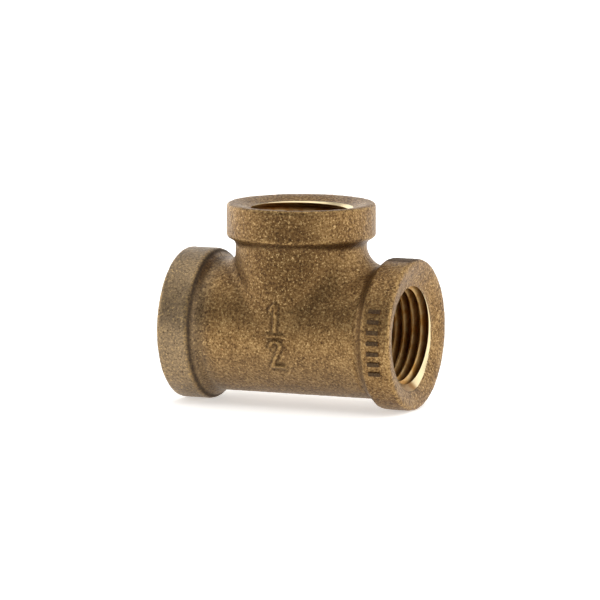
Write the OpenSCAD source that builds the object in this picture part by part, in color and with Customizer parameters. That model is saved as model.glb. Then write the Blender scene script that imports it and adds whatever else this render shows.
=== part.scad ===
// Half-inch female pipe tee, cast in one piece and tapped at its three ports.
// The run lies along X and the branch stands up along Z. The origin is where the port axes cross.
// All sizes are in millimetres.

/* [Pipe thread] */
// Outside diameter of the pipe that the ports take
pipe_d = 21.34; // [17:0.01:27]
// Diameter of the tap-drill bore, which stands for the thread's crests
thread_bore_d = 18.26; // [14:0.01:24]
// Depth of the tapped wall, from the mouth inwards
thread_depth = 13.5; // [9:0.1:18]
// Width and depth of the 45 degree chamfer at each mouth
mouth_chamfer = 1; // [0.3:0.05:1.5]

/* [Run] */
// Distance from the crossing of the axes to the rim of each run port
run_reach = 24.6; // [20:0.1:36]
// Wall between the pipe's diameter and the outside of the run tube
run_wall = 2.3; // [1.8:0.05:4]
// How far the run bands stand proud of the run tube
run_band_step = 1.85; // [0.8:0.05:3]
// Width of the right band along the run, the one with the bars
right_band_w = 5.8; // [4:0.1:9]
// Width of the left band along the run
left_band_w = 6.4; // [4:0.1:9]
// Length of the sloping shoulder behind each run band
run_shoulder_w = 1.6; // [0.6:0.1:3]

/* [Branch] */
// Distance from the crossing of the axes to the rim of the branch port
branch_reach = 24.8; // [20:0.1:36]
// Wall between the pipe's diameter and the outside of the branch tube
branch_wall = 2.2; // [1.8:0.05:4]
// How far the branch band stands proud of the branch tube
branch_band_step = 1.75; // [0.8:0.05:3]
// Width of the branch band along its axis
branch_band_w = 6.5; // [4:0.1:9]
// Length of the sloping shoulder under the branch band
branch_shoulder_w = 1; // [0.6:0.1:3]

/* [Casting] */
// Radius of the rounded outer edge of each rim
rim_round = 0.8; // [0.3:0.05:1.2]
// Width of each rim outside the dished part of the end face
rim_land = 1.5; // [1.3:0.1:2.4]
// How far each end face dips from its rim to its mouth
face_dish = 1; // [0.2:0.1:1.6]
// How far the cored waterway is cut back behind the thread, on the radius
waterway_relief = 1.2; // [0.3:0.05:1.6]
// Largest radius of the fillet in the crotch on the right, between run and branch
right_fillet = 4.8; // [2:0.1:7]
// Largest radius of the fillet in the crotch on the left
left_fillet = 2.6; // [1:0.1:6]

/* [Cast marks] */
// How far the cast marks stand proud of the skin
mark_relief = 0.4; // [0.2:0.05:0.8]
// Width of a stroke of the size mark
stroke_w = 0.75; // [0.5:0.05:1.2]
// Height of each figure of the size mark
figure_h = 5.8; // [4:0.1:7]
// Number of plain bars on the right band
bar_count = 7; // [3:1:9]
// Width of each bar, round the band
bar_w = 1; // [0.6:0.05:1.4]
// Length of each bar, along the run
bar_l = 3.1; // [2:0.1:4]
// Angle from one bar to the next, round the band
bar_pitch = 8; // [6:0.5:14]

/* [Hidden] */
$fn = 96;

run_tube_r = pipe_d / 2 + run_wall;
run_band_r = run_tube_r + run_band_step;
branch_tube_r = pipe_d / 2 + branch_wall;
branch_band_r = branch_tube_r + branch_band_step;
bore_r = thread_bore_d / 2;
mouth_r = bore_r + mouth_chamfer;
waterway_r = bore_r + waterway_relief;
bronze = "#94794d";

// past is how far a cutting shape runs beyond the face that it cuts
past = 1;

// A crotch fillet is a stack of slices across Y. Its radius fades to faded_fillet at its two ends, and
// its edges lie skin_sink under the tubes so that it joins them cleanly.
slice_count = 20;
arc_steps = 6;
fillet_span = 0.86 * min(run_tube_r, branch_tube_r);
faded_fillet = 0.25;
skin_sink = 0.1;
root_sink = 1.5;

function slice_y(i) = fillet_span * (2 * i / slice_count - 1);
function tube_height(r, y) = sqrt(r * r - y * y);
function slice_fillet(y, fillet) = fillet - (fillet - faded_fillet) * pow(y / fillet_span, 2);

// One slice, as points in the order root, up the branch, down the arc, along the run
function slice_points(y, fillet) =
    let (
        x0 = tube_height(branch_tube_r, y) - skin_sink,
        z0 = tube_height(run_tube_r, y) - skin_sink,
        f = slice_fillet(y, fillet)
    )
    concat(
        [[x0 - root_sink, y, z0 - root_sink], [x0 - root_sink, y, z0 + f]],
        [for (k = [0:arc_steps])
            let (a = 90 * k / arc_steps)
            [x0 + f * (1 - cos(a)), y, z0 + f * (1 - sin(a))]],
        [[x0 + f, y, z0 - root_sink]]
    );

module crotch_web(fillet) {
    ring = arc_steps + 4;
    points = [for (i = [0:slice_count]) each slice_points(slice_y(i), fillet)];
    sides = [for (i = [0:slice_count - 1], k = [0:ring - 1])
        let (a = i * ring + k, b = i * ring + (k + 1) % ring)
        each [[a, b + ring, b], [a, a + ring, b + ring]]];
    caps = [
        [for (k = [0:ring - 1]) k],
        [for (k = [ring - 1:-1:0]) slice_count * ring + k]
    ];
    polyhedron(points = points, faces = concat(sides, caps), convexity = 4);
}

// Half of a port's band, from its axis out, with the rim's outer edge rounded
module band_profile(band_r, band_w) {
    square([band_r - rim_round, band_w]);
    square([band_r, band_w - rim_round]);
    translate([band_r - rim_round, band_w - rim_round]) circle(r = rim_round);
}

// Outside of one leg of the tee, from the crossing of the axes up +Z to its rim
module leg(reach, tube_r, band_r, band_w, shoulder_w) {
    cylinder(r = tube_r, h = reach - band_w);
    translate([0, 0, reach - band_w - shoulder_w]) cylinder(r1 = tube_r, r2 = band_r, h = shoulder_w);
    translate([0, 0, reach - band_w]) rotate_extrude() band_profile(band_r, band_w);
}

// What the machining and the core take out of one leg, along +Z
module port_cut(reach, band_r) {
    mouth_z = reach - face_dish;
    bore_end_z = mouth_z - thread_depth;
    translate([0, 0, mouth_z]) cylinder(r1 = mouth_r, r2 = band_r - rim_land, h = face_dish);
    translate([0, 0, reach]) cylinder(r = band_r - rim_land, h = past);
    translate([0, 0, mouth_z - mouth_chamfer]) cylinder(r1 = bore_r, r2 = mouth_r, h = mouth_chamfer);
    translate([0, 0, bore_end_z]) cylinder(r = bore_r, h = thread_depth - mouth_chamfer);
    cylinder(r = waterway_r, h = bore_end_z);
}

module towards_plus_x() {
    rotate([0, 90, 0]) children();
}

module towards_minus_x() {
    rotate([0, -90, 0]) children();
}

// A straight stroke with round ends, drawn from one point to another
module stroke(from, to) {
    run = to - from;
    translate(from) rotate(atan2(run.y, run.x)) {
        translate([0, -stroke_w / 2]) square([norm(run), stroke_w]);
        circle(d = stroke_w);
        translate([norm(run), 0]) circle(d = stroke_w);
    }
}

// The figure one, standing on its origin
module figure_one() {
    flag = figure_h / 6;
    stroke([0, stroke_w / 2], [0, figure_h - stroke_w / 2]);
    stroke([0, figure_h - stroke_w / 2], [-flag, figure_h - stroke_w / 2 - flag]);
}

// The figure two, hanging from its origin: an open bow, a slanting leg and a foot
module figure_two() {
    bow_r = figure_h * 0.18;
    foot_y = stroke_w / 2 - figure_h;
    translate([0, -bow_r - stroke_w / 2]) {
        difference() {
            circle(r = bow_r + stroke_w / 2);
            circle(r = bow_r - stroke_w / 2);
            translate([-2 * figure_h, -2 * figure_h]) square([4 * figure_h, 2 * figure_h]);
        }
        translate([-bow_r, 0]) circle(d = stroke_w);
    }
    stroke([bow_r, -bow_r - stroke_w / 2], [-bow_r, foot_y]);
    stroke([-bow_r, foot_y], [bow_r + stroke_w / 2, foot_y]);
}

// The nominal size as a plain fraction: one over two, centred on its bar
module size_fraction() {
    gap = stroke_w * 0.9;
    bar_half = figure_h * 0.25;
    stroke([-bar_half, 0], [bar_half, 0]);
    translate([0, gap]) figure_one();
    translate([0, -gap]) figure_two();
}

// The size fraction raised on the front of the body, where run and branch meet
module size_mark() {
    intersection() {
        rotate([90, 0, 0]) linear_extrude(height = run_tube_r + branch_tube_r) size_fraction();
        union() {
            towards_plus_x() cylinder(r = run_tube_r + mark_relief, h = 2 * figure_h, center = true);
            cylinder(r = branch_tube_r + mark_relief, h = 2 * figure_h);
        }
    }
}

// One bar of the row: a short arc of the band's own curve, facing the front, with its root in the band
module band_bar() {
    bar_angle = 2 * atan2(bar_w / 2, run_band_r);
    rotate([0, 0, -bar_angle / 2])
        rotate_extrude(angle = bar_angle)
            translate([run_band_r - rim_round, 0]) square([rim_round + mark_relief, bar_l]);
}

// A row of plain bars raised on the front of the right band
module band_bars() {
    bars_x = run_reach - (right_band_w + rim_round + bar_l) / 2;
    first = -bar_pitch * (bar_count - 1) / 2;
    for (i = [0:bar_count - 1])
        rotate([first + i * bar_pitch, 0, 0])
            translate([bars_x, 0, 0]) towards_plus_x() rotate([0, 0, -90]) band_bar();
}

module tee_casting() color(bronze) difference() {
    union() {
        towards_plus_x() leg(run_reach, run_tube_r, run_band_r, right_band_w, run_shoulder_w);
        towards_minus_x() leg(run_reach, run_tube_r, run_band_r, left_band_w, run_shoulder_w);
        leg(branch_reach, branch_tube_r, branch_band_r, branch_band_w, branch_shoulder_w);
        crotch_web(right_fillet);
        mirror([1, 0, 0]) crotch_web(left_fillet);
        size_mark();
        band_bars();
    }
    towards_plus_x() port_cut(run_reach, run_band_r);
    towards_minus_x() port_cut(run_reach, run_band_r);
    port_cut(branch_reach, branch_band_r);
}

tee_casting();
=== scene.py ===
import math

import bmesh
import bpy
import numpy as np
from mathutils import Matrix, Vector


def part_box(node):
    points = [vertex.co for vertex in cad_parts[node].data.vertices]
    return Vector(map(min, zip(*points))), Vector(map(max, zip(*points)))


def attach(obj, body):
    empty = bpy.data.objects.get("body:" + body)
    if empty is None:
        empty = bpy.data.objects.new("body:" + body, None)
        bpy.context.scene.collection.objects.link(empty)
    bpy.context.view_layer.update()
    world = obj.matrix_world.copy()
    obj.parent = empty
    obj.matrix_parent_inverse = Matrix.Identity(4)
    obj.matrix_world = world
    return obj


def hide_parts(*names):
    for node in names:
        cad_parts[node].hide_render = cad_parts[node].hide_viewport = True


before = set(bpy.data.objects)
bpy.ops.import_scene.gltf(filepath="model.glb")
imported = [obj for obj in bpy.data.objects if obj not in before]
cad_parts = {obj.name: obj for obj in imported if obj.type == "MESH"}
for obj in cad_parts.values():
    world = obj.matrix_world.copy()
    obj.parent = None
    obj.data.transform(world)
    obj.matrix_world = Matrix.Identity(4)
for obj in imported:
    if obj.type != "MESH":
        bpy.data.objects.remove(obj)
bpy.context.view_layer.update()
castNode = "tee_casting"
lowCorner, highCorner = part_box(castNode)

# Everything is made in millimetres, in the frame of the part, and scaled to metres when it is finished.
metre = 0.001
mathNode = "ShaderNodeMath"

camera = {
    "azimuth": 23.5,      # degrees round from the front, towards the right port
    "elevation": 7.8,     # degrees above the floor
    "distance": 1432,     # from the point it looks at
    "lens": 439,          # long lens on a 36 mm sensor
    "aimRight": -0.25,    # the point it looks at, right of the crossing of the axes
    "aimUp": 5.48,        # and above it, both as the camera sees them
}


def direction(azimuth, elevation):
    # towards a place seen from the middle, both angles in radians
    level = math.cos(elevation)
    return Vector((math.sin(azimuth) * level, -math.cos(azimuth) * level, math.sin(elevation)))


def placeCamera():
    azimuth = math.radians(camera["azimuth"])
    elevation = math.radians(camera["elevation"])
    away = direction(azimuth, elevation)
    right = Vector((math.cos(azimuth), math.sin(azimuth), 0))
    up = away.cross(right)
    aim = right * camera["aimRight"] + up * camera["aimUp"]
    data = bpy.data.cameras.new("studioCamera")
    data.lens = camera["lens"]
    data.sensor_width = 36
    data.clip_start = 0.05
    data.clip_end = 60
    eye = bpy.data.objects.new("studioCamera", data)
    bpy.context.scene.collection.objects.link(eye)
    turn = Matrix((right, up, away)).transposed().to_4x4()
    eye.matrix_world = Matrix.Translation((aim + away * camera["distance"]) * metre) @ turn
    bpy.context.scene.camera = eye


placeCamera()
print("camera placed")

def addNode(tree, kind, inputs=None, **settings):
    node = tree.nodes.new(kind)
    for name, value in settings.items():
        setattr(node, name, value)
    for socket, value in (inputs or {}).items():
        if isinstance(value, bpy.types.Node):
            value = value.outputs[0]
        if isinstance(value, bpy.types.NodeSocket):
            tree.links.new(value, node.inputs[socket])
        else:
            node.inputs[socket].default_value = value
    return node


def linearColour(hexCode):
    channels = [int(hexCode[i:i + 2], 16) / 255 for i in (1, 3, 5)]
    return [c / 12.92 if c <= 0.04045 else ((c + 0.055) / 1.055) ** 2.4 for c in channels] + [1]


def perMetre(size):
    # a texture's scale, so that one of its cells measures this many millimetres
    return 1 / (size * metre)


castFinish = {
    "dark": "#5f4529",        # brown oxide in the hollows of the skin
    "middle": "#87673e",      # weathered red brass
    "light": "#aa8a5b",       # where handling has rubbed it
    "frontShadeTint": "#bab3aa",   # painted shade: what the front of the body's middle is darkened by
    "grainGlint": "#cfae78",        # painted glints: single grains made bright
    "darkAndShadeHex": "#2e1d10",     # dark pits, and painted shade in corners, creases and along the bands; also the dark of the ground flat and the bars
    "wornHex": "#b79661",     # rubbed edges
    "patch": 4.5,             # mm, size of the darker and lighter patches
    "grain": 0.46,            # mm, sand grain print
    "speck": 0.42,            # mm, single grains
    "copperHex": "#dca66a",   # the few grains rubbed down to bare metal
    "copperSpot": 1.1,        # mm
    "metallic": 0.86,
    "greyTintHex": "#8c8270",     # grey tint
    "grainHeight": 0.11,      # mm
    # where each noise starts and ends its effect, and how strong that gets
    "darkEnd": 0.38, "middleAt": 0.5, "lightEnd": 0.62,
    "grainShare": 0.7,
    "speckFrom": 0.59, "speckTo": 0.68, "speckShare": 0.85,
    "pitFrom": 0.41, "pitTo": 0.34, "pitShare": 0.7,
    "copperFrom": 0.7, "copperTo": 0.76,
    "rubFrom": 0.46, "rubTo": 0.6,
    "lowRoughness": 0.34, "highRoughness": 0.52,
    "darkAndShadeMetallic": 0.2,
}


def sandCastBronze():
    # Leaded red brass poured in green sand and only tumbled: a matt, grainy, brown skin with bright specks.
    material = bpy.data.materials.new("sandCastBronze")
    material.use_nodes = True
    tree = material.node_tree
    shader = tree.nodes["Principled BSDF"]
    place = addNode(tree, "ShaderNodeTexCoord").outputs["Object"]
    patches = addNode(tree, "ShaderNodeTexNoise", {"Vector": place,
        "Scale": perMetre(castFinish["patch"]), "Detail": 6.0, "Roughness": 0.62})
    grain = addNode(tree, "ShaderNodeTexNoise", {"Vector": place, "Scale": perMetre(castFinish["grain"]),
        "Detail": 3.0, "Roughness": 0.65})
    tones = addNode(tree, "ShaderNodeMix", {0: castFinish["grainShare"], 2: patches.outputs["Fac"],
        3: grain.outputs["Fac"]})
    lower = addNode(tree, "ShaderNodeMapRange", {"Value": tones, "From Min": castFinish["darkEnd"],
        "From Max": castFinish["middleAt"]})
    upper = addNode(tree, "ShaderNodeMapRange", {"Value": tones, "From Min": castFinish["middleAt"],
        "From Max": castFinish["lightEnd"]})
    darker = addNode(tree, "ShaderNodeMix", {0: lower, 6: linearColour(castFinish["dark"]),
        7: linearColour(castFinish["middle"])}, data_type="RGBA")
    skin = addNode(tree, "ShaderNodeMix", {0: upper, 6: darker.outputs[2],
        7: linearColour(castFinish["light"])}, data_type="RGBA")
    # painted shade on the front of the body's middle
    frontShade = addNode(tree, "ShaderNodeAttribute", attribute_name="frontShade")
    frontShaded = addNode(tree, "ShaderNodeMix", {0: frontShade.outputs["Fac"], 6: skin.outputs[2],
        7: linearColour(castFinish["frontShadeTint"])}, data_type="RGBA", blend_type="MULTIPLY")
    greyTint = addNode(tree, "ShaderNodeAttribute", attribute_name="greyTint")
    greyTinted = addNode(tree, "ShaderNodeMix", {0: greyTint.outputs["Fac"], 6: frontShaded.outputs[2],
        7: linearColour(castFinish["greyTintHex"])}, data_type="RGBA")
    specks = addNode(tree, "ShaderNodeTexNoise", {"Vector": place,
        "Scale": perMetre(castFinish["speck"]), "Detail": 2.0, "Roughness": 0.7})
    speckMask = addNode(tree, "ShaderNodeMapRange", {"Value": specks.outputs["Fac"],
        "From Min": castFinish["speckFrom"], "From Max": castFinish["speckTo"],
        "To Max": castFinish["speckShare"]})
    # painted glints: single grains made bright
    glinting = addNode(tree, "ShaderNodeMix", {0: speckMask.outputs["Result"], 6: greyTinted.outputs[2],
        7: linearColour(castFinish["grainGlint"])}, data_type="RGBA")
    pitMask = addNode(tree, "ShaderNodeMapRange", {"Value": specks.outputs["Fac"],
        "From Min": castFinish["pitFrom"], "From Max": castFinish["pitTo"],
        "To Max": castFinish["pitShare"]})
    pitted = addNode(tree, "ShaderNodeMix", {0: pitMask.outputs["Result"], 6: glinting.outputs[2],
        7: linearColour(castFinish["darkAndShadeHex"])}, data_type="RGBA")
    spots = addNode(tree, "ShaderNodeTexNoise", {"Vector": place,
        "Scale": perMetre(castFinish["copperSpot"]), "Detail": 3.0, "Roughness": 0.8})
    spotMask = addNode(tree, "ShaderNodeMapRange", {"Value": spots.outputs["Fac"],
        "From Min": castFinish["copperFrom"], "From Max": castFinish["copperTo"]})
    coppery = addNode(tree, "ShaderNodeMix", {0: spotMask.outputs["Result"], 6: pitted.outputs[2],
        7: linearColour(castFinish["copperHex"])}, data_type="RGBA")
    worn = addNode(tree, "ShaderNodeAttribute", attribute_name="worn")
    # painted shade in corners, creases and along the bands, with the painted dark of the ground flat and the
    # bars
    darkAndShade = addNode(tree, "ShaderNodeAttribute", attribute_name="darkAndShade")
    rubbing = addNode(tree, "ShaderNodeMapRange", {"Value": specks.outputs["Fac"],
        "From Min": castFinish["rubFrom"], "From Max": castFinish["rubTo"]})
    wornShare = addNode(tree, mathNode, {0: worn.outputs["Fac"], 1: rubbing.outputs["Result"]},
        operation="MULTIPLY")
    rubbed = addNode(tree, "ShaderNodeMix", {0: wornShare.outputs[0], 6: coppery.outputs[2],
        7: linearColour(castFinish["wornHex"])}, data_type="RGBA")
    darkAndShaded = addNode(tree, "ShaderNodeMix", {0: darkAndShade.outputs["Fac"], 6: rubbed.outputs[2],
        7: linearColour(castFinish["darkAndShadeHex"])}, data_type="RGBA")
    tree.links.new(darkAndShaded.outputs[2], shader.inputs["Base Color"])
    rough = addNode(tree, "ShaderNodeMapRange", {"Value": grain.outputs["Fac"], "From Min": 0.3,
        "From Max": 0.7, "To Min": castFinish["highRoughness"], "To Max": castFinish["lowRoughness"]})
    # where the skin has painted shade or painted dark it is dull, even at a glancing view
    dull = addNode(tree, mathNode, {0: darkAndShade.outputs["Fac"], 1: rough.outputs["Result"]},
        operation="MAXIMUM")
    tree.links.new(dull.outputs[0], shader.inputs["Roughness"])
    bare = addNode(tree, "ShaderNodeMapRange", {"Value": darkAndShade.outputs["Fac"], "From Min": 0.5,
        "To Min": castFinish["metallic"], "To Max": castFinish["darkAndShadeMetallic"]})
    tree.links.new(bare.outputs["Result"], shader.inputs["Metallic"])
    bump = addNode(tree, "ShaderNodeBump", {"Strength": 1.0,
        "Distance": castFinish["grainHeight"] * metre, "Height": grain.outputs["Fac"]})
    tree.links.new(bump.outputs["Normal"], shader.inputs["Normal"])
    return material


tapFinish = {
    "metal": "#dcbb80",       # freshly cut red brass
    "stain": "#c4934f",       # cutting oil dried on it
    "chamferHex": "#eedbae",  # the chamfer, cut last and cleanest, and paler still as a painted highlight
    "rootShadeHex": "#54300e",     # painted shade in the roots
    "metallic": 1.0,
    "blotch": 2.2,            # mm, size of the oil stains
    "toolMark": 0.22,         # mm, chatter on the thread, wider than the real 0.05 mm so that it shows
    "toolMarkHeight": 0.02,   # mm
    "stainEnd": 0.36, "metalFrom": 0.58,
    "roughness": 0.36,
}


def tappedBronze():
    # The same metal drilled and cut by a taper tap: bright, yellow and smooth, with oil stains in the roots.
    material = bpy.data.materials.new("tappedBronze")
    material.use_nodes = True
    tree = material.node_tree
    shader = tree.nodes["Principled BSDF"]
    place = addNode(tree, "ShaderNodeTexCoord").outputs["Object"]
    blotches = addNode(tree, "ShaderNodeTexNoise", {"Vector": place,
        "Scale": perMetre(tapFinish["blotch"]), "Detail": 4.0})
    bright = addNode(tree, "ShaderNodeMapRange", {"Value": blotches.outputs["Fac"],
        "From Min": tapFinish["stainEnd"], "From Max": tapFinish["metalFrom"]})
    metal = addNode(tree, "ShaderNodeMix", {0: bright, 6: linearColour(tapFinish["stain"]),
        7: linearColour(tapFinish["metal"])}, data_type="RGBA")
    # painted shade in the thread roots and on the torn chamfer
    darkAndShade = addNode(tree, "ShaderNodeAttribute", attribute_name="darkAndShade")
    # a clean cut and a painted highlight on the chamfer
    cleanAndSheen = addNode(tree, "ShaderNodeAttribute", attribute_name="cleanAndSheen")
    brightened = addNode(tree, "ShaderNodeMix", {0: cleanAndSheen.outputs["Fac"], 6: metal.outputs[2],
        7: linearColour(tapFinish["chamferHex"])}, data_type="RGBA")
    rooted = addNode(tree, "ShaderNodeMix", {0: darkAndShade.outputs["Fac"], 6: brightened.outputs[2],
        7: linearColour(tapFinish["rootShadeHex"])}, data_type="RGBA")
    tree.links.new(rooted.outputs[2], shader.inputs["Base Color"])
    chatter = addNode(tree, "ShaderNodeTexNoise", {"Vector": place,
        "Scale": perMetre(tapFinish["toolMark"]), "Detail": 1.0})
    bump = addNode(tree, "ShaderNodeBump", {"Strength": 0.8,
        "Distance": tapFinish["toolMarkHeight"] * metre, "Height": chatter.outputs["Fac"]})
    tree.links.new(bump.outputs["Normal"], shader.inputs["Normal"])
    shader.inputs["Metallic"].default_value = tapFinish["metallic"]
    shader.inputs["Roughness"].default_value = tapFinish["roughness"]
    return material


castMetal = sandCastBronze()
tappedMetal = tappedBronze()
print("materials made")

def meshObject(name, mesh):
    thing = bpy.data.objects.new(name, mesh)
    bpy.context.scene.collection.objects.link(thing)
    return thing


def bakeModifiers(thing):
    # the evaluated shape becomes the object's own plain mesh
    graph = bpy.context.evaluated_depsgraph_get()
    mesh = bpy.data.meshes.new_from_object(thing.evaluated_get(graph))
    thing.modifiers.clear()
    thing.data = mesh


def combine(body, tool, operation):
    modifier = body.modifiers.new(operation.lower(), "BOOLEAN")
    modifier.operation = operation
    modifier.solver = "MANIFOLD"
    modifier.material_mode = "TRANSFER"
    modifier.object = tool
    bakeModifiers(body)
    bpy.data.objects.remove(tool)


def runNodes(thing, tree, values):
    modifier = thing.modifiers.new(tree.name, "NODES")
    modifier.node_group = tree
    for item in tree.interface.items_tree:
        if item.item_type == "SOCKET" and item.in_out == "INPUT" and item.name in values:
            modifier[item.identifier] = values[item.name]
    bakeModifiers(thing)


def newTree(name, sizes):
    tree = bpy.data.node_groups.new(name, "GeometryNodeTree")
    tree.interface.new_socket("Geometry", in_out="INPUT", socket_type="NodeSocketGeometry")
    for size, start in sizes.items():
        kind = "NodeSocketInt" if isinstance(start, int) else "NodeSocketFloat"
        tree.interface.new_socket(size, in_out="INPUT", socket_type=kind).default_value = start
    tree.interface.new_socket("Material", in_out="INPUT", socket_type="NodeSocketMaterial")
    tree.interface.new_socket("Geometry", in_out="OUTPUT", socket_type="NodeSocketGeometry")
    return tree, addNode(tree, "NodeGroupInput").outputs


def endTree(tree, geometry, material):
    real = addNode(tree, "GeometryNodeRealizeInstances", {"Geometry": geometry})
    finished = addNode(tree, "GeometryNodeSetMaterial", {"Geometry": real.outputs[0],
        "Material": material})
    addNode(tree, "NodeGroupOutput", {"Geometry": finished.outputs[0]})


def vertexArray(mesh):
    flat = np.empty(len(mesh.vertices) * 3)
    mesh.vertices.foreach_get("co", flat)
    return flat.reshape(-1, 3)


def edgeArray(mesh):
    flat = np.empty(len(mesh.edges) * 2, int)
    mesh.edges.foreach_get("vertices", flat)
    return flat.reshape(-1, 2)


casting = {
    "rightBandWidth": 5.8,
    "leftBandWidth": 6.4,
    "runBandStep": 1.85,
    "runShoulder": 1.6,       # length of the sloping step behind a run band
    "runDish": 1.15,          # how far the end face dips from rim to mouth
    "branchBandWidth": 6.5,
    "branchBandStep": 1.75,
    "branchShoulder": 1.0,
    "branchDish": 0.95,
    "rimRound": 0.75,         # outer edge of a rim
    "rimLand": 1.5,           # width of a rim outside its dish
    "mouthRadius": 10.13,
    "bandEdgeRound": 0.35,    # where band turns into shoulder
    "footRound": 0.6,         # where shoulder meets tube
    "rightCrotchFillet": 4.8,
    "leftCrotchFillet": 2.6,
    "frontFillet": 0.9,       # what is left of it where the two tubes run into one at the front
    "markRelief": 0.46,
    "markSoftness": 0.28,     # width of a mark's sloping edge
    "stroke": 0.75,
    "figureHeight": 5.8,
    "flatDrop": 0.07,         # how far the ground flat on the right band lies under its crest
    "branchBandUnder": 0.2,   # how much smaller the branch band's radius is than the run bands'
    "dishSpread": 0.5,        # how wide, how early and how steeply an end face starts to dip
    "dishStart": 0.1,
    "dishGain": 1.55,
}

meshing = {
    "skinVoxel": 0.4,         # size of the even faces
    "coreVoxel": 0.6,
    "roundSides": 128,
    "probe": 0.01,            # step by which the slope of a distance is measured
    "stride": 0.6,            # longest move of a point in one round
    "leastSlope": 0.2,
    "sharpAngle": 38,         # degrees
}

bandRadius = highCorner.y / metre
rightLeg = {
    "reach": highCorner.x / metre,
    "band": bandRadius,
    "tube": bandRadius - casting["runBandStep"],
    "bandWidth": casting["rightBandWidth"],
    "shoulder": casting["runShoulder"],
    "dish": casting["runDish"],
}
leftLeg = {**rightLeg, "bandWidth": casting["leftBandWidth"]}
branchLeg = {
    "reach": highCorner.z / metre,
    "band": bandRadius - casting["branchBandUnder"],
    "tube": bandRadius - casting["branchBandUnder"] - casting["branchBandStep"],
    "bandWidth": casting["branchBandWidth"],
    "shoulder": casting["branchShoulder"],
    "dish": casting["branchDish"],
}


def roundUnion(a, b, radius):
    return np.maximum(radius, np.minimum(a, b)) - np.hypot(np.maximum(radius - a, 0),
        np.maximum(radius - b, 0))


def roundCut(a, b, radius):
    return -roundUnion(-a, -b, radius)


def smoothStep(x):
    x = np.clip(x, 0, 1)
    return x * x * (3 - 2 * x)


def legDistance(along, radius, leg):
    step = leg["band"] - leg["tube"]
    shoulderFoot = leg["reach"] - leg["bandWidth"] - leg["shoulder"]
    slope = ((radius - leg["tube"]) * leg["shoulder"] - (along - shoulderFoot) * step) / math.hypot(step,
        leg["shoulder"])
    band = roundCut(radius - leg["band"], slope, casting["bandEdgeRound"])
    outside = roundUnion(radius - leg["tube"], band, casting["footRound"])
    dishRadius = leg["band"] - casting["rimLand"]
    inward = (dishRadius - radius) / (dishRadius - casting["mouthRadius"])
    dip = smoothStep(inward * casting["dishSpread"] + casting["dishStart"])
    dip = dip * leg["dish"] * casting["dishGain"]
    face = along - leg["reach"] + np.minimum(dip, leg["dish"])
    return roundCut(outside, face, casting["rimRound"])


def strokeDistance(u, v, start, end):
    du, dv = end[0] - start[0], end[1] - start[1]
    t = np.clip(((u - start[0]) * du + (v - start[1]) * dv) / (du * du + dv * dv), 0, 1)
    return np.hypot(u - start[0] - t * du, v - start[1] - t * dv)


def sizeMark(u, v):
    # one over two, as plain strokes: distance from the middle line of the nearest stroke
    half = casting["stroke"] / 2
    gap = casting["stroke"] * 0.9
    tall = casting["figureHeight"]
    flag = tall / 6
    bow = tall * 0.18
    bowMiddle = -gap - bow - half
    foot = -gap - tall + half
    parts = [
        strokeDistance(u, v, (-0.25 * tall, 0), (0.25 * tall, 0)),
        strokeDistance(u, v, (0, gap + half), (0, gap + tall - half)),
        strokeDistance(u, v, (0, gap + tall - half), (-flag, gap + tall - half - flag)),
        strokeDistance(u, v, (bow, bowMiddle), (-bow, foot)),
        strokeDistance(u, v, (-bow, foot), (bow + half, foot)),
    ]
    ring = np.abs(np.hypot(u, v - bowMiddle) - bow)
    parts.append(np.where(v > bowMiddle, ring, np.hypot(u + bow, v - bowMiddle)))
    return np.minimum.reduce(parts)


def castingDistance(p):
    x, y, z = p.T
    runRadius = np.hypot(y, z)
    run = np.where(x > 0, legDistance(x, runRadius, rightLeg), legDistance(-x, runRadius, leftLeg))
    branch = np.maximum(legDistance(z, np.hypot(x, y), branchLeg), -z)
    # a ball rolled along the crossing: the nearer the two skins come to one plane, the less it leaves
    meeting = np.clip(y * y / np.maximum(np.hypot(y, z) * np.hypot(x, y), 1e-6), 0, 1)
    share = (1 - np.sqrt((1 + meeting) / 2)) / (1 - math.sqrt(0.5))
    fillet = np.where(x > 0, casting["rightCrotchFillet"], casting["leftCrotchFillet"])
    skin = roundUnion(run, branch, np.maximum(fillet * share, casting["frontFillet"]))
    # the gate's stub was ground off the crest of the right band
    onBand = (z > 0) & (x > rightLeg["reach"] - rightLeg["bandWidth"] - rightLeg["shoulder"])
    skin = np.where(onBand, np.maximum(skin, z - rightLeg["band"] + casting["flatDrop"]), skin)
    edge = (casting["stroke"] / 2 + casting["markSoftness"] / 2 - sizeMark(x,
        z)) / casting["markSoftness"]
    return skin - casting["markRelief"] * smoothStep(edge) * (y < 0)


waterway = {
    "radius": 10.33,          # the core that the sand left behind the threads
    "runReach": 10.4,
    "branchReach": 10.6,
    "endRound": 1.2,
    "crossingRound": 1.0,
}


def coreDistance(p):
    x, y, z = p.T
    run = roundCut(np.hypot(y, z) - waterway["radius"], np.abs(x) - waterway["runReach"],
        waterway["endRound"])
    branch = roundCut(np.hypot(x, y) - waterway["radius"], z - waterway["branchReach"],
        waterway["endRound"])
    return roundUnion(run, np.maximum(branch, -z), waterway["crossingRound"])


def settle(points, distance, rounds):
    # moves every point along the slope of the distance until it lies on the skin
    reach = meshing["probe"]
    for _ in range(rounds):
        here = distance(points)
        rise = [distance(points + step) - distance(points - step) for step in np.eye(3) * reach]
        slope = np.stack(rise, 1) / (2 * reach)
        stride = here / np.maximum((slope * slope).sum(1), meshing["leastSlope"])
        points = points - np.clip(stride, -meshing["stride"], meshing["stride"])[:, None] * slope
    return points


def relax(points, edges, share):
    count = np.bincount(edges.ravel(), minlength=len(points))[:, None]
    total = np.zeros_like(points)
    np.add.at(total, edges[:, 0], points[edges[:, 1]])
    np.add.at(total, edges[:, 1], points[edges[:, 0]])
    return points + share * (total / np.maximum(count, 1) - points)


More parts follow.
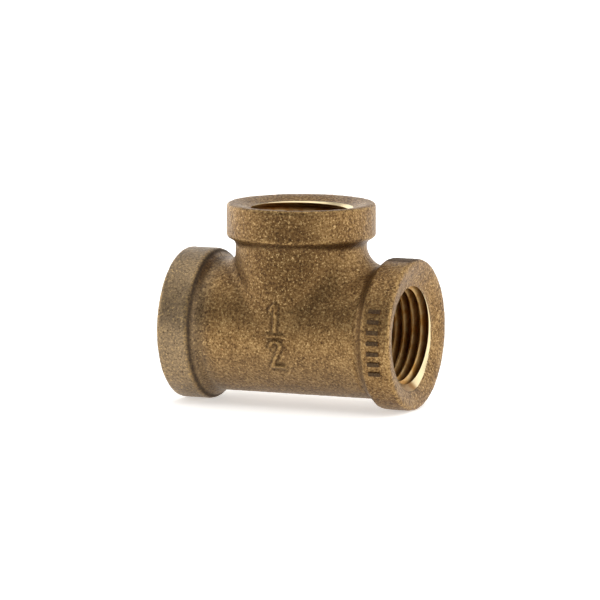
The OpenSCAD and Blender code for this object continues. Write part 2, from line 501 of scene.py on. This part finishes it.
def roughForm(name, cylinders, voxel):
    # closed cylinders, given by both ends and a radius, joined into one skin of even faces
    form = bmesh.new()
    for start, end, radius in cylinders:
        axis = Vector(end) - Vector(start)
        turn = axis.to_track_quat("Z", "Y").to_matrix().to_4x4()
        place = Matrix.Translation((Vector(start) + Vector(end)) / 2) @ turn
        bmesh.ops.create_cone(form, cap_ends=True, segments=meshing["roundSides"], radius1=radius,
            radius2=radius, depth=axis.length, matrix=place)
    mesh = bpy.data.meshes.new(name)
    form.to_mesh(mesh)
    form.free()
    thing = meshObject(name, mesh)
    remesh = thing.modifiers.new("evenFaces", "REMESH")
    remesh.mode = "VOXEL"
    remesh.voxel_size = voxel
    bakeModifiers(thing)
    return thing


def settleMesh(thing, distance, relaxRounds):
    points, edges = vertexArray(thing.data), edgeArray(thing.data)
    points = settle(points, distance, 4)
    for _ in range(relaxRounds):
        points = settle(relax(points, edges, 0.5), distance, 2)
    thing.data.vertices.foreach_set("co", points.ravel())
    thing.data.update()


def refine(thing, chosen):
    # splits the faces whose centre is chosen, so that small marks come out crisp
    form = bmesh.new()
    form.from_mesh(thing.data)
    centres = np.array([face.calc_center_median() for face in form.faces])
    mask = chosen(centres)
    edges = {edge for face, inside in zip(form.faces, mask) if inside for edge in face.edges}
    bmesh.ops.subdivide_edges(form, edges=list(edges), cuts=1, use_grid_fill=True)
    form.to_mesh(thing.data)
    form.free()


skinGrain = {
    "Wave height": 0.12,     # slow unevenness of the mould
    "Wave size": 3.2,
    "Grain height": 0.16,    # the sand's print
    "Grain size": 0.8,
    "Seed": 7.0,
}
coreGrain = {"Wave height": 0.2, "Wave size": 2.6, "Grain height": 0.15, "Grain size": 1.1, "Seed": 3.0}
grainMiddle = 0.4            # noise value that leaves the skin where it is


def grainNodes():
    tree, given = newTree("sandPrint", {"Wave height": 0.1, "Wave size": 3.0, "Grain height": 0.1,
        "Grain size": 1.0, "Seed": 7.0})
    place = addNode(tree, "GeometryNodeInputPosition").outputs[0]
    sinks = []
    for kind, detail in (("Wave", 2.0), ("Grain", 2.0)):
        scale = addNode(tree, mathNode, {0: 1.0, 1: given[kind + " size"]}, operation="DIVIDE")
        noise = addNode(tree, "ShaderNodeTexNoise", {"Vector": place, "W": given["Seed"], "Scale": scale,
            "Detail": detail}, noise_dimensions="4D")
        level = addNode(tree, mathNode, {0: noise.outputs["Fac"], 1: grainMiddle}, operation="SUBTRACT")
        sinks.append(addNode(tree, mathNode, {0: level, 1: given[kind + " height"]},
            operation="MULTIPLY"))
    depth = addNode(tree, mathNode, {0: sinks[0], 1: sinks[1]}, operation="ADD")
    normal = addNode(tree, "GeometryNodeInputNormal").outputs["Normal"]
    inward = addNode(tree, mathNode, {0: depth, 1: -1.0}, operation="MULTIPLY")
    offset = addNode(tree, "ShaderNodeVectorMath", {0: normal, "Scale": inward}, operation="SCALE")
    moved = addNode(tree, "GeometryNodeSetPosition", {"Geometry": given["Geometry"],
        "Offset": offset.outputs[0]})
    endTree(tree, moved.outputs[0], given["Material"])
    return tree


def makeSkin():
    reach, high = rightLeg["reach"], branchLeg["reach"]
    leftFoot, rightFoot, branchFoot = (leg["reach"] - leg["bandWidth"] - leg["shoulder"] / 2
                                       for leg in (leftLeg, rightLeg, branchLeg))
    skin = roughForm("castSkin", [
        ((-reach, 0, 0), (reach, 0, 0), rightLeg["tube"]),
        ((-reach, 0, 0), (-leftFoot, 0, 0), leftLeg["band"]),
        ((rightFoot, 0, 0), (reach, 0, 0), rightLeg["band"]),
        ((0, 0, 0), (0, 0, high), branchLeg["tube"]),
        ((0, 0, branchFoot), (0, 0, high), branchLeg["band"]),
    ], meshing["skinVoxel"])
    tall = casting["figureHeight"] + 2
    refine(skin, lambda c: (np.abs(c[:, 0]) < 3) & (np.abs(c[:, 2]) < tall) & (c[:, 1] < -9))
    settleMesh(skin, castingDistance, 3)
    return skin


def makeCore():
    core = roughForm("waterwayCore", [
        ((-waterway["runReach"], 0, 0), (waterway["runReach"], 0, 0), waterway["radius"]),
        ((0, 0, 0), (0, 0, waterway["branchReach"]), waterway["radius"]),
    ], meshing["coreVoxel"])
    settleMesh(core, coreDistance, 2)
    return core


bandBars = {
    "count": 7,
    "pitch": 8.0,          # degrees from bar to bar
    "width": 1.0,
    "length": 3.1,
    "relief": 0.4,
    "corner": 0.25,
    "draft": 0.8,          # top face's size against the foot's
}


def barNodes():
    tree, given = newTree("barRow", {"Count": 7, "Pitch": 8.0, "Width": 1.0, "Length": 3.0,
        "Height": 1.0, "Corner": 0.2, "Draft": 0.8, "Radius": 14.0, "Along": 20.0})
    outline = addNode(tree, "GeometryNodeCurvePrimitiveQuadrilateral", {"Width": given["Width"],
        "Height": given["Length"]})
    rounded = addNode(tree, "GeometryNodeFilletCurve", {"Curve": outline.outputs[0], "Count": 4,
        "Radius": given["Corner"], "Limit Radius": True}, mode="POLY")
    foot = addNode(tree, "GeometryNodeFillCurve", {"Curve": rounded.outputs[0]}, mode="NGONS")
    raised = addNode(tree, "GeometryNodeExtrudeMesh", {"Mesh": foot.outputs[0],
        "Offset Scale": given["Height"], "Individual": False})
    closing = addNode(tree, "GeometryNodeFlipFaces", {"Mesh": foot.outputs[0]})
    drafted = addNode(tree, "GeometryNodeScaleElements", {"Geometry": raised.outputs["Mesh"],
        "Selection": raised.outputs["Top"], "Scale": given["Draft"]})
    closed = addNode(tree, "GeometryNodeJoinGeometry")
    tree.links.new(drafted.outputs[0], closed.inputs[0])
    tree.links.new(closing.outputs[0], closed.inputs[0])
    bar = addNode(tree, "GeometryNodeMergeByDistance", {"Geometry": closed.outputs[0],
        "Distance": 0.001})
    # the bars stand on an arc round the run's axis, middle one at the front
    points = addNode(tree, "GeometryNodeMeshLine", {"Count": given["Count"], "Offset": (0, 0, 0)})
    index = addNode(tree, "GeometryNodeInputIndex").outputs[0]
    last = addNode(tree, mathNode, {0: given["Count"], 1: 1.0}, operation="SUBTRACT")
    middle = addNode(tree, mathNode, {0: last, 1: 0.5}, operation="MULTIPLY")
    fromMiddle = addNode(tree, mathNode, {0: index, 1: middle}, operation="SUBTRACT")
    turns = addNode(tree, mathNode, {0: fromMiddle, 1: given["Pitch"]}, operation="MULTIPLY")
    angle = addNode(tree, mathNode, {0: turns}, operation="RADIANS")
    towardsFront = addNode(tree, mathNode, {0: given["Radius"], 1: -1.0}, operation="MULTIPLY")
    cosine = addNode(tree, mathNode, {0: angle}, operation="COSINE")
    sine = addNode(tree, mathNode, {0: angle}, operation="SINE")
    y = addNode(tree, mathNode, {0: cosine, 1: towardsFront}, operation="MULTIPLY")
    z = addNode(tree, mathNode, {0: sine, 1: towardsFront}, operation="MULTIPLY")
    spot = addNode(tree, "ShaderNodeCombineXYZ", {"X": given["Along"], "Y": y, "Z": z})
    placed = addNode(tree, "GeometryNodeSetPosition", {"Geometry": points.outputs[0],
        "Position": spot.outputs[0]})
    outward = addNode(tree, "ShaderNodeCombineXYZ", {"X": 0.0, "Y": y, "Z": z})
    facing = addNode(tree, "FunctionNodeAlignRotationToVector", {"Vector": outward.outputs[0]}, axis="Z")
    lying = addNode(tree, "FunctionNodeAlignRotationToVector", {"Rotation": facing.outputs[0],
        "Vector": (1, 0, 0)}, axis="Y", pivot_axis="Z")
    row = addNode(tree, "GeometryNodeInstanceOnPoints", {"Points": placed.outputs[0],
        "Instance": bar.outputs[0], "Rotation": lying.outputs[0]})
    endTree(tree, row.outputs[0], given["Material"])
    return tree


def makeBars():
    # the feet lie one relief under the band's skin, so that each bar joins it all round
    bars = meshObject("bandBars", bpy.data.meshes.new("bandBars"))
    runNodes(bars, barNodes(), {"Count": bandBars["count"], "Pitch": bandBars["pitch"],
        "Width": bandBars["width"], "Length": bandBars["length"], "Height": 2 * bandBars["relief"],
        "Corner": bandBars["corner"], "Draft": bandBars["draft"],
        "Radius": rightLeg["band"] - bandBars["relief"] - 0.03,
        "Along": rightLeg["reach"] - rightLeg["bandWidth"] / 2 - casting["rimRound"] / 2,
        "Material": castMetal})
    return bars


tap = {
    "pitch": 1.8143,         # 14 threads to the inch
    "boreRadius": 9.13,      # tap drill
    "rootRadius": 10.6,      # at the mouth
    "depth": 13.5,           # of the tapped wall, from the mouth
    "chamfer": 0.93,
    "grooveWidth": 1.78,     # at the crests, so that they keep a narrow flat
    "rootWidth": 0.08,
    "turns": 9,
    "runOutTurns": 2.5,      # the tap's lead cuts these last turns ever shallower
    "segments": 96,
    "taperOnRadius": 1 / 32,
    "grooveOverlap": 0.05,   # so that the groove opens into the bore
    "drillTop": 2.0,         # how far the drill reaches above the mouth
    "drillPast": 0.8,        # and past the tapped wall
    "coneRise": 1.5,
    "coneSink": 0.3,
    "runMouth": 1.1,         # depth of the mouth under the rim
    "branchMouth": 0.9,
}
ports = {
    # start: depth of the groove's middle under the mouth, on the side that faces down or to the back
    # chamferOff: how far the chamfer's axis lies off the thread's, across the port
    "right": {"turn": 90, "mouth": rightLeg["reach"] - tap["runMouth"], "start": 1.56, "off": (0, 0, -0.12),
              "chamferOff": (0.52, -0.4), "tearShade": 1.0},
    "left": {"turn": -90, "mouth": rightLeg["reach"] - tap["runMouth"], "start": 1.1, "off": (0, 0.2, 0.1),
             "chamferOff": (0.1, 0.1), "tearShade": 0.0},
    "branch": {"turn": 0, "mouth": branchLeg["reach"] - tap["branchMouth"], "start": 1.55, "off": (0, 0, 0),
               "chamferOff": (0.25, -0.2), "tearShade": 0.0},
}


def tapNodes():
    # a tool with its axis up Z and the mouth at zero: drill, chamfer and the helical groove with its lead
    tree, given = newTree("taperTap", {"Pitch": 1.8, "Turns": 9.0, "Segments": 96, "Bore radius": 9.0,
        "Root radius": 10.6, "Depth": 13.5, "Chamfer": 1.0, "Groove width": 1.7, "Root width": 0.1,
        "Lead turns": 2.5, "Start": 1.0, "Chamfer off X": 0.0, "Chamfer off Y": 0.0})
    height = addNode(tree, mathNode, {0: given["Pitch"], 1: given["Turns"]}, operation="MULTIPLY")
    spiral = addNode(tree, "GeometryNodeCurveSpiral", {"Resolution": given["Segments"],
        "Rotations": given["Turns"], "Start Radius": 1.0, "End Radius": 1.0, "Height": height,
        "Reverse": True})
    place = addNode(tree, "GeometryNodeInputPosition").outputs[0]
    split = addNode(tree, "ShaderNodeSeparateXYZ", {0: place})
    turnsInDepth = addNode(tree, mathNode, {0: given["Depth"], 1: given["Pitch"]}, operation="DIVIDE")
    wholeTurns = addNode(tree, mathNode, {0: turnsInDepth}, operation="FLOOR")
    threaded = addNode(tree, mathNode, {0: wholeTurns, 1: given["Pitch"]}, operation="MULTIPLY")
    bottom = addNode(tree, mathNode, {0: threaded, 1: given["Start"]}, operation="ADD")
    z = addNode(tree, mathNode, {0: split.outputs["Z"], 1: bottom}, operation="SUBTRACT")
    grooveDepth = addNode(tree, mathNode, {0: given["Root radius"], 1: given["Bore radius"]},
        operation="SUBTRACT")
    leadHeight = addNode(tree, mathNode, {0: given["Lead turns"], 1: given["Pitch"]},
        operation="MULTIPLY")
    risen = addNode(tree, mathNode, {0: split.outputs["Z"], 1: leadHeight}, operation="DIVIDE")
    leadShare = addNode(tree, mathNode, {0: 1.0, 1: risen}, operation="SUBTRACT")
    leadLeft = addNode(tree, mathNode, {0: leadShare, 1: 0.0}, operation="MAXIMUM")
    lead = addNode(tree, mathNode, {0: leadLeft, 1: grooveDepth}, operation="MULTIPLY")
    taper = addNode(tree, mathNode, {0: z, 1: tap["taperOnRadius"]}, operation="MULTIPLY")
    # the groove's section is centred on its own middle, half its depth inside the root
    taperedRoot = addNode(tree, mathNode, {0: given["Root radius"], 1: taper}, operation="ADD")
    halfDepth = addNode(tree, mathNode, {0: grooveDepth, 1: 0.5}, operation="MULTIPLY")
    middle = addNode(tree, mathNode, {0: taperedRoot, 1: halfDepth}, operation="SUBTRACT")
    radius = addNode(tree, mathNode, {0: middle, 1: lead}, operation="SUBTRACT")
    x = addNode(tree, mathNode, {0: split.outputs["X"], 1: radius}, operation="MULTIPLY")
    y = addNode(tree, mathNode, {0: split.outputs["Y"], 1: radius}, operation="MULTIPLY")
    path = addNode(tree, "ShaderNodeCombineXYZ", {"X": x, "Y": y, "Z": z})
    wound = addNode(tree, "GeometryNodeSetPosition", {"Geometry": spiral.outputs[0],
        "Position": path.outputs[0]})
    upright = addNode(tree, "GeometryNodeSetCurveNormal", {"Curve": wound.outputs[0]}, mode="Z_UP")
    sectionHeight = addNode(tree, mathNode, {0: grooveDepth, 1: tap["grooveOverlap"]}, operation="ADD")
    section = addNode(tree, "GeometryNodeCurvePrimitiveQuadrilateral",
        {"Bottom Width": given["Groove width"], "Top Width": given["Root width"],
        "Height": sectionHeight, "Offset": 0.0}, mode="TRAPEZOID")
    turned = addNode(tree, "GeometryNodeTransform", {"Geometry": section.outputs[0], "Rotation": (0, 0,
        -math.pi / 2)})
    groove = addNode(tree, "GeometryNodeCurveToMesh", {"Curve": upright.outputs[0],
        "Profile Curve": turned.outputs[0], "Fill Caps": True})
    top, past = tap["drillTop"], tap["drillPast"]
    drillLength = addNode(tree, mathNode, {0: given["Depth"], 1: top + past}, operation="ADD")
    drill = addNode(tree, "GeometryNodeMeshCylinder", {"Vertices": 192, "Radius": given["Bore radius"],
        "Depth": drillLength})
    drillSpan = addNode(tree, mathNode, {0: given["Depth"], 1: past - top}, operation="ADD")
    drillMiddle = addNode(tree, mathNode, {0: drillSpan, 1: -0.5}, operation="MULTIPLY")
    drillPlace = addNode(tree, "ShaderNodeCombineXYZ", {"Z": drillMiddle})
    drilled = addNode(tree, "GeometryNodeTransform", {"Geometry": drill, "Translation": drillPlace})
    # the chamfer's cone is cut at 45 degrees, from inside the bore to above the mouth
    flare = addNode(tree, mathNode, {0: given["Chamfer"], 1: tap["coneRise"]}, operation="ADD")
    coneTop = addNode(tree, mathNode, {0: given["Bore radius"], 1: flare}, operation="ADD")
    coneFoot = addNode(tree, mathNode, {0: given["Bore radius"], 1: tap["coneSink"]},
        operation="SUBTRACT")
    coneHeight = addNode(tree, mathNode, {0: given["Chamfer"], 1: tap["coneRise"] + tap["coneSink"]},
        operation="ADD")
    cone = addNode(tree, "GeometryNodeMeshCone", {"Vertices": 192, "Radius Top": coneTop,
        "Radius Bottom": coneFoot, "Depth": coneHeight})
    chamferFoot = addNode(tree, mathNode, {0: given["Chamfer"], 1: -1.0}, operation="MULTIPLY")
    coneStart = addNode(tree, mathNode, {0: chamferFoot, 1: tap["coneSink"]}, operation="SUBTRACT")
    conePlace = addNode(tree, "ShaderNodeCombineXYZ", {"X": given["Chamfer off X"],
        "Y": given["Chamfer off Y"], "Z": coneStart})
    sunk = addNode(tree, "GeometryNodeTransform", {"Geometry": cone, "Translation": conePlace})
    tool = addNode(tree, "GeometryNodeMeshBoolean", operation="UNION", solver="MANIFOLD")
    for part in (groove, drilled, sunk):
        tree.links.new(part.outputs[0], tool.inputs["Mesh 2"])
    endTree(tree, tool.outputs[0], given["Material"])
    return tree


def portPlace(port):
    turn = Matrix.Rotation(math.radians(port["turn"]), 4, "Y")
    return Matrix.Translation(port["off"]) @ turn @ Matrix.Translation((0, 0, port["mouth"]))


def makeTap(name, port, tree):
    tool = meshObject("tap_" + name, bpy.data.meshes.new("tap_" + name))
    runNodes(tool, tree, {"Pitch": tap["pitch"], "Turns": float(tap["turns"]),
        "Segments": tap["segments"], "Bore radius": tap["boreRadius"], "Root radius": tap["rootRadius"],
        "Depth": tap["depth"], "Chamfer": tap["chamfer"], "Groove width": tap["grooveWidth"],
        "Root width": tap["rootWidth"], "Lead turns": tap["runOutTurns"], "Start": port["start"],
        "Chamfer off X": port["chamferOff"][0], "Chamfer off Y": port["chamferOff"][1],
        "Material": tappedMetal})
    tool.data.transform(portPlace(port))
    return tool


def curving(points):
    # how sharply the skin turns at each point: above zero on edges, below zero in corners
    reach = 0.6
    ring = sum(castingDistance(points + step) + castingDistance(points - step) for step in np.eye(3) * reach)
    return (ring - 6 * castingDistance(points)) / reach ** 2


def portMarksAndShade(points):
    # which points are in a bore or on a turned end face, how clean a chamfer they lie on and how much
    # painted highlight it gets, and how deep in a thread's root, from 0 at the crests to 1
    root, cleanAndSheen = np.zeros(len(points)), np.zeros(len(points))
    inBore, onFace = np.zeros(len(points), bool), np.zeros(len(points), bool)
    for port, leg in ((ports["right"], rightLeg), (ports["left"], leftLeg), (ports["branch"], branchLeg)):
        toTool = np.array(portPlace(port).inverted())
        u, v, w = (points @ toTool[:3, :3].T + toTool[:3, 3]).T
        across = np.hypot(u, v)
        cone = tap["boreRadius"] + tap["chamfer"] + w
        fromCone = np.hypot(u - port["chamferOff"][0], v - port["chamferOff"][1]) - cone
        chamfered = (np.abs(fromCone) < 0.12) & (w > -tap["chamfer"] - 0.3) & (w < 0.4)
        inside = (across < tap["rootRadius"] + 0.5) & (w < -0.3) & (w > -tap["depth"])
        crest = np.maximum(cone, tap["boreRadius"])
        root = np.where(inside, smoothStep((across - crest - 0.7) / 0.7), root)
        inBore |= inside
        # painted shade on the chamfer stands for the torn first thread at the foot of the right mouth
        tearShade = port["tearShade"] * smoothStep((u - 5) / 2) * smoothStep((2.8 - v) / 2)
        cleanAndSheen = np.where(chamfered, 1 - tearShade, cleanAndSheen)
        root = np.where(chamfered, np.maximum(root, 0.9 * tearShade), root)
        onFace |= (np.abs(w) < 0.35) & (across < leg["band"] - casting["rimRound"]) & ~chamfered
    return root, inBore, cleanAndSheen, onFace & ~inBore


marksAndShade = {
    # how strong each painted mark is, of casting and use and of shade, from 0 to 1
    "cornerShade": 0.5, "leftLineShade": 0.8, "rightLineShade": 0.35, "flatDark": 0.7, "barDark": 0.75,
    "rootShade": 0.65, "creaseShade": 0.75, "edgeWear": 0.65, "faceWear": 0.05,
    "leftGreyTint": 0.45, "lowGreyTint": 0.2, "frontShade": 0.9,
    "lineBehind": 0.35,      # mm, from the edge of a run band to the middle of its painted dark line of shade
    "lineWidth": 0.42,
    "creaseWidth": 0.5,
    # middle and size of the painted shade on the front, where the branch leaves the body
    "frontShadeX": 3, "frontShadeZ": 16, "frontShadeWide": 9, "frontShadeTall": 15,
}


def paintMarksAndShade(thing):
    points = vertexArray(thing.data)
    x, y, z = points.T
    root, inBore, cleanAndSheen, onFace = portMarksAndShade(points)
    turn = curving(points)
    # painted shade in the corners, where the skin turns inwards
    darkAndShade = marksAndShade["cornerShade"] * smoothStep(-turn / 1.4)
    # painted shade: a dark line along the inner edge of each run band
    edgeAt = np.where(x > 0, rightLeg["reach"] - rightLeg["bandWidth"],
        leftLeg["reach"] - leftLeg["bandWidth"])
    behindEdge = edgeAt - np.abs(x)
    line = np.exp(-((behindEdge - marksAndShade["lineBehind"]) / marksAndShade["lineWidth"]) ** 2) * (np.hypot(y,
        z) > rightLeg["tube"] + 0.2)
    darkAndShade = np.maximum(darkAndShade, np.where(x < 0, marksAndShade["leftLineShade"], marksAndShade["rightLineShade"]) * line)
    worn = marksAndShade["edgeWear"] * smoothStep((turn - 0.4) / 1.2)
    # the ground flat of the right band, and the raised bars, are painted dark
    bandFoot = rightLeg["reach"] - rightLeg["bandWidth"] - rightLeg["shoulder"]
    onFlat = (x > bandFoot) & (z > rightLeg["band"] - casting["flatDrop"] - 0.22)
    onBars = (x > bandFoot) & (np.hypot(y, z) > rightLeg["band"] + 0.06) & (y < 0)
    darkAndShade = np.where(onFlat, marksAndShade["flatDark"], np.where(onBars, marksAndShade["barDark"], darkAndShade))
    # painted shade in the thread roots, darker the deeper
    darkAndShade = np.where(inBore | (root > 0), marksAndShade["rootShade"] * root, darkAndShade)
    worn = np.where(onFlat | onBars | inBore, 0, worn)
    # the turned end faces get no painted shade or dark, and only a trace of wear
    darkAndShade = np.where(onFace, 0, darkAndShade)
    worn = np.where(onFace, marksAndShade["faceWear"], worn)
    # painted shade in the crease at the foot of the branch on the left
    crease = np.hypot(np.hypot(y, z) - rightLeg["tube"], np.hypot(x, y) - branchLeg["tube"])
    gathered = np.exp(-(crease / marksAndShade["creaseWidth"]) ** 2) * (x < 0) * (z > 6) * smoothStep((z - 7.5) / 4)
    darkAndShade = np.maximum(darkAndShade, marksAndShade["creaseShade"] * gathered)
    # greyer on the left band, and a little greyer along the underside
    greyTint = marksAndShade["leftGreyTint"] * smoothStep((-x - 13) / 6)
    greyTint += marksAndShade["lowGreyTint"] * smoothStep(-z / 12) * (np.abs(x) < 16)
    # painted shade: the front of the skin is darker where the branch leaves the body
    patch = ((x - marksAndShade["frontShadeX"]) / marksAndShade["frontShadeWide"]) ** 2
    patch += ((z - marksAndShade["frontShadeZ"]) / marksAndShade["frontShadeTall"]) ** 2
    frontShade = marksAndShade["frontShade"] * np.exp(-patch) * smoothStep(-y / 9)
    for name, values in (("darkAndShade", darkAndShade), ("worn", worn), ("greyTint", greyTint), ("frontShade", frontShade),
                         ("cleanAndSheen", cleanAndSheen)):
        attribute = thing.data.attributes.new(name, "FLOAT", "POINT")
        attribute.data.foreach_set("value", values.astype(np.float32))


def openEdges(mesh):
    form = bmesh.new()
    form.from_mesh(mesh)
    count = sum(not edge.is_manifold for edge in form.edges)
    form.free()
    return count


def makeTee():
    tee = makeSkin()
    grain = grainNodes()
    runNodes(tee, grain, {**skinGrain, "Material": castMetal})
    print("cast skin:", len(tee.data.polygons), "faces, open edges", openEdges(tee.data))
    combine(tee, makeBars(), "UNION")
    core = makeCore()
    runNodes(core, grain, {**coreGrain, "Material": castMetal})
    combine(tee, core, "DIFFERENCE")
    print("bars and waterway:", len(tee.data.polygons), "faces, open edges", openEdges(tee.data))
    tree = tapNodes()
    for name, port in ports.items():
        combine(tee, makeTap(name, port, tree), "DIFFERENCE")
    paintMarksAndShade(tee)
    # no grain may stand outside the part's box
    points = np.clip(vertexArray(tee.data), np.array(lowCorner) / metre, np.array(highCorner) / metre)
    tee.data.vertices.foreach_set("co", points.ravel())
    tee.data.transform(Matrix.Scale(metre, 4))
    tee.name = tee.data.name = "tee_body"
    tee.data.polygons.foreach_set("use_smooth", [True] * len(tee.data.polygons))
    tee.data.set_sharp_from_angle(angle=math.radians(meshing["sharpAngle"]))
    triangles = sum(len(face.vertices) - 2 for face in tee.data.polygons)
    print("ports tapped:", triangles, "triangles, open edges", openEdges(tee.data))
    return tee


tee = makeTee()
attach(tee, "root")
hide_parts(castNode)

studio = {
    "floor": "#f4f3f1",
    "world": "#ffffff",
    "worldPower": 0.2,
    "sweepPower": 0.87,
    "sweepTop": 3.0,          # degrees above the horizon
    "sweepFade": 5.0,
    "floorGlow": 0.55,        # the paper lies on a light table
    "floorHalf": 15,          # metres
    "mottleHex": "#f1f0ee",
    "mottle": 60,             # mm
    # name, azimuth, elevation, distance and size in metres, power
    "softboxes": [
        ("leftSoftbox", -97, 19, 1.1, (2.5, 0.8), 10.5),
        ("rightSoftbox", 95, 27, 1.1, (1.6, 1.2), 7.8),
        ("backSoftbox", 175, 20, 1.3, (2.2, 0.8), 5.5),
        ("overheadPanel", 0, 90, 2.4, (3.0, 3.0), 40),
    ],
}


def paintedFloor():
    # matt white paper, nearly even, with a trace of mottling
    material = bpy.data.materials.new("whitePaper")
    material.use_nodes = True
    tree = material.node_tree
    shader = tree.nodes["Principled BSDF"]
    place = addNode(tree, "ShaderNodeTexCoord").outputs["Object"]
    noise = addNode(tree, "ShaderNodeTexNoise", {"Vector": place, "Scale": perMetre(studio["mottle"]),
        "Detail": 3.0})
    share = addNode(tree, "ShaderNodeMapRange", {"Value": noise.outputs["Fac"], "From Min": 0.3,
        "From Max": 0.7})
    paper = addNode(tree, "ShaderNodeMix", {0: share, 6: linearColour(studio["mottleHex"]),
        7: linearColour(studio["floor"])}, data_type="RGBA")
    tree.links.new(paper.outputs[2], shader.inputs["Base Color"])
    shader.inputs["Roughness"].default_value = 0.9
    shader.inputs["Emission Color"].default_value = linearColour(studio["floor"])
    shader.inputs["Emission Strength"].default_value = studio["floorGlow"]
    return material


def makeFloor():
    form = bmesh.new()
    half = studio["floorHalf"]
    height = lowCorner.z
    corners = [form.verts.new((sx * half, sy * half, height)) for sx, sy in ((-1, -1), (1, -1), (1, 1),
        (-1, 1))]
    form.faces.new(corners)
    mesh = bpy.data.meshes.new("studioFloor")
    form.to_mesh(mesh)
    form.free()
    mesh.materials.append(paintedFloor())
    return meshObject("studioFloor", mesh)


def addSoftbox(name, azimuth, elevation, distance, size, power):
    data = bpy.data.lights.new(name, "AREA")
    data.shape = "RECTANGLE"
    data.size, data.size_y = size
    data.energy = power
    lamp = bpy.data.objects.new(name, data)
    bpy.context.scene.collection.objects.link(lamp)
    away = direction(math.radians(azimuth), math.radians(elevation))
    lamp.matrix_world = Matrix.Translation(away * distance) @ away.to_track_quat("Z",
        "Y").to_matrix().to_4x4()


def lightStudio():
    world = bpy.data.worlds.new("studioWorld")
    bpy.context.scene.world = world
    world.use_nodes = True
    background = world.node_tree.nodes["Background"]
    background.inputs["Color"].default_value = linearColour(studio["world"])
    # a white sweep closes the view behind the far edge of the floor; above it the room is dim
    view = addNode(world.node_tree, "ShaderNodeTexCoord").outputs["Generated"]
    height = addNode(world.node_tree, "ShaderNodeSeparateXYZ", {0: view}).outputs["Z"]
    fall = addNode(world.node_tree, "ShaderNodeMapRange", {"Value": height,
        "From Min": math.sin(math.radians(studio["sweepTop"])),
        "From Max": math.sin(math.radians(studio["sweepTop"] + studio["sweepFade"])),
        "To Min": studio["sweepPower"], "To Max": studio["worldPower"]})
    world.node_tree.links.new(fall.outputs["Result"], background.inputs["Strength"])
    for softbox in studio["softboxes"]:
        addSoftbox(*softbox)
    bpy.context.scene.view_settings.view_transform = "Standard"


floor = makeFloor()
lightStudio()
print("studio lit")
